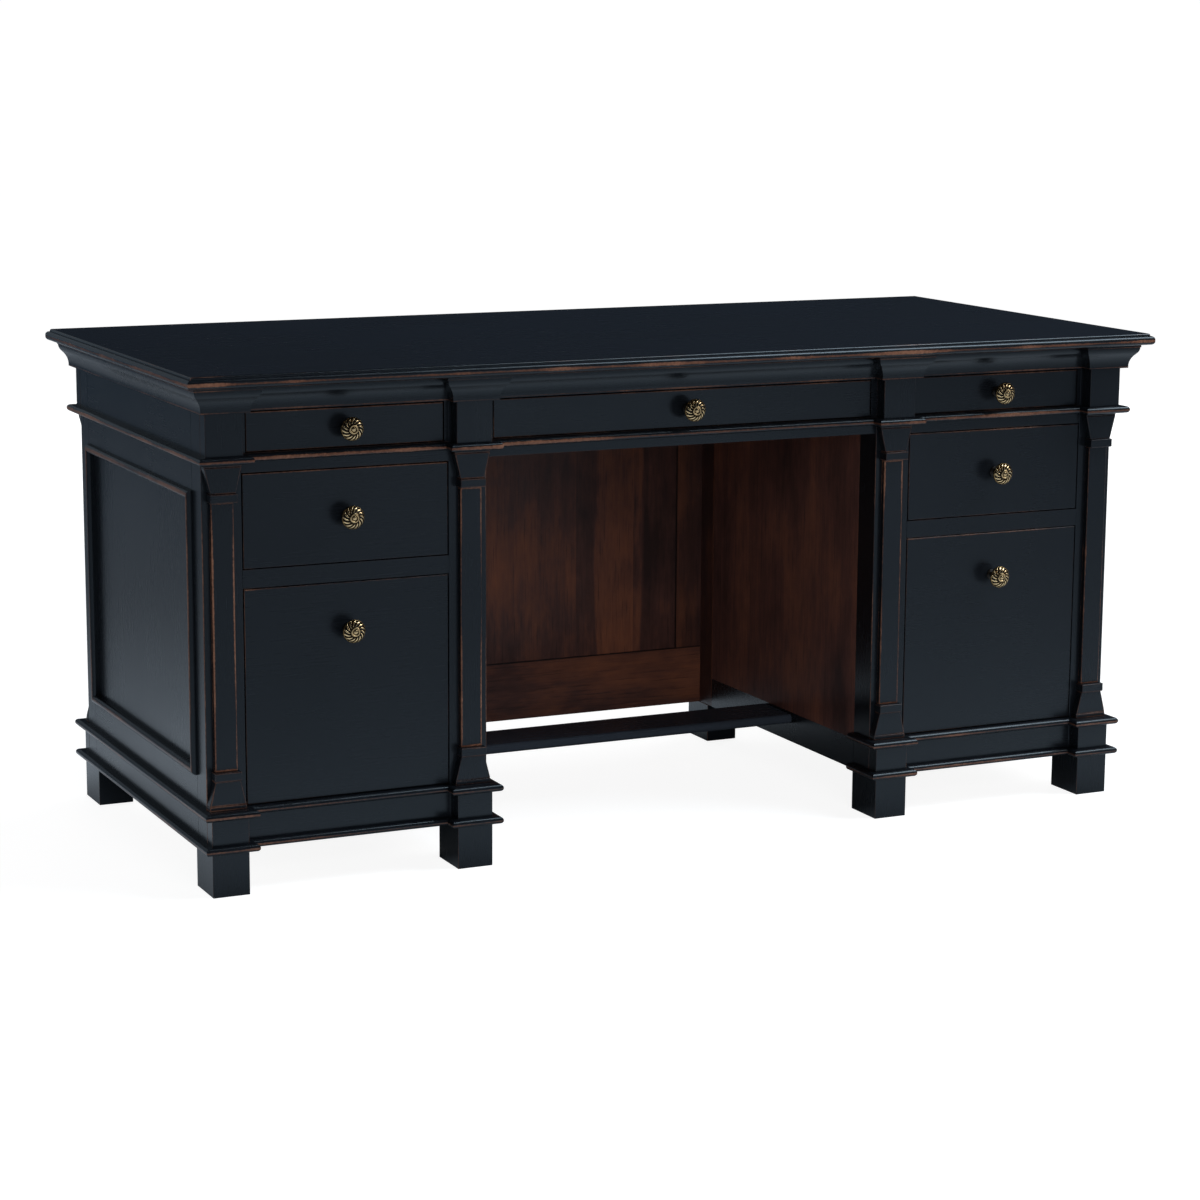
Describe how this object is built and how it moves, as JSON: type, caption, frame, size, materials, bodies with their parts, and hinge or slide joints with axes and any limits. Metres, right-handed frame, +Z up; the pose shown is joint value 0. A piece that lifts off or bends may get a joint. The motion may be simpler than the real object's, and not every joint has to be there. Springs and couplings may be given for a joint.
{
  "type": "pedestal desk",
  "caption": "Black-painted wooden pedestal desk with rubbed edges, pilastered corners, stepped mouldings, a walnut kneehole and drawers with brass rosette knobs.",
  "frame": {"origin": "on the floor at the centre of the desk's plan", "axes": "+X along the desk's length to the right as seen from the front, -Y out of the drawer front, +Z up"},
  "size_m": [1.616, 0.742, 0.762],
  "materials": {
    "black_paint": "satin black paint rubbed through at the edges",
    "walnut": "oiled walnut",
    "drawer_wood": "plain sealed wood",
    "antique_brass": "antiqued"
  },
  "bodies": {
    "carcase": {"top_slab": "black_paint", "crown_moulding": "black_paint", "waist_moulding": "black_paint", "upper_base_moulding": "black_paint", "lower_base_moulding": "black_paint", "end_beads": "black_paint", "feet": "black_paint", "plinth_blocks": "black_paint", "frieze_blocks": "black_paint", "pilaster_bases": "black_paint", "pilaster_collars": "black_paint", "pilaster_shafts": "black_paint", "pilaster_capitals": "black_paint", "corner_posts": "black_paint", "left_face_frame": "black_paint", "right_face_frame": "black_paint", "centre_face_frame": "black_paint", "plinth_boards": "black_paint", "end_frames": "black_paint", "end_panels": "black_paint", "end_friezes": "black_paint", "back_panels": "black_paint", "back_friezes": "black_paint", "stretcher": "black_paint", "left_inner_side": "walnut", "right_inner_side": "walnut", "modesty_frame": "walnut", "modesty_panel": "walnut", "pedestal_bottoms": "drawer_wood", "dust_boards": "drawer_wood", "drawer_guides": "drawer_wood", "centre_runners": "drawer_wood"},
    "left_lower_drawer": {"left_lower_drawer_front": "black_paint", "left_lower_drawer_box": "drawer_wood", "left_lower_drawer_bottom": "drawer_wood", "left_lower_drawer_knob": "antique_brass"},
    "left_middle_drawer": {"left_middle_drawer_front": "black_paint", "left_middle_drawer_box": "drawer_wood", "left_middle_drawer_bottom": "drawer_wood", "left_middle_drawer_knob": "antique_brass"},
    "left_upper_drawer": {"left_upper_drawer_front": "black_paint", "left_upper_drawer_box": "drawer_wood", "left_upper_drawer_bottom": "drawer_wood", "left_upper_drawer_knob": "antique_brass"},
    "right_lower_drawer": {"right_lower_drawer_front": "black_paint", "right_lower_drawer_box": "drawer_wood", "right_lower_drawer_bottom": "drawer_wood", "right_lower_drawer_knob": "antique_brass"},
    "right_middle_drawer": {"right_middle_drawer_front": "black_paint", "right_middle_drawer_box": "drawer_wood", "right_middle_drawer_bottom": "drawer_wood", "right_middle_drawer_knob": "antique_brass"},
    "right_upper_drawer": {"right_upper_drawer_front": "black_paint", "right_upper_drawer_box": "drawer_wood", "right_upper_drawer_bottom": "drawer_wood", "right_upper_drawer_knob": "antique_brass"},
    "centre_drawer": {"centre_drawer_front": "black_paint", "centre_drawer_box": "drawer_wood", "centre_drawer_bottom": "drawer_wood", "centre_drawer_knob": "antique_brass"}
  },
  "joints": [
    {"name": "left_lower_drawer_slide", "type": "slide", "parent": "carcase", "child": "left_lower_drawer", "axis": [0, -1, 0], "range_m": [0, 0.4]},
    {"name": "left_middle_drawer_slide", "type": "slide", "parent": "carcase", "child": "left_middle_drawer", "axis": [0, -1, 0], "range_m": [0, 0.4]},
    {"name": "left_upper_drawer_slide", "type": "slide", "parent": "carcase", "child": "left_upper_drawer", "axis": [0, -1, 0], "range_m": [0, 0.4]},
    {"name": "right_lower_drawer_slide", "type": "slide", "parent": "carcase", "child": "right_lower_drawer", "axis": [0, -1, 0], "range_m": [0, 0.4]},
    {"name": "right_middle_drawer_slide", "type": "slide", "parent": "carcase", "child": "right_middle_drawer", "axis": [0, -1, 0], "range_m": [0, 0.4]},
    {"name": "right_upper_drawer_slide", "type": "slide", "parent": "carcase", "child": "right_upper_drawer", "axis": [0, -1, 0], "range_m": [0, 0.4]},
    {"name": "centre_drawer_slide", "type": "slide", "parent": "carcase", "child": "centre_drawer", "axis": [0, -1, 0], "range_m": [0, 0.35]}
  ]
}
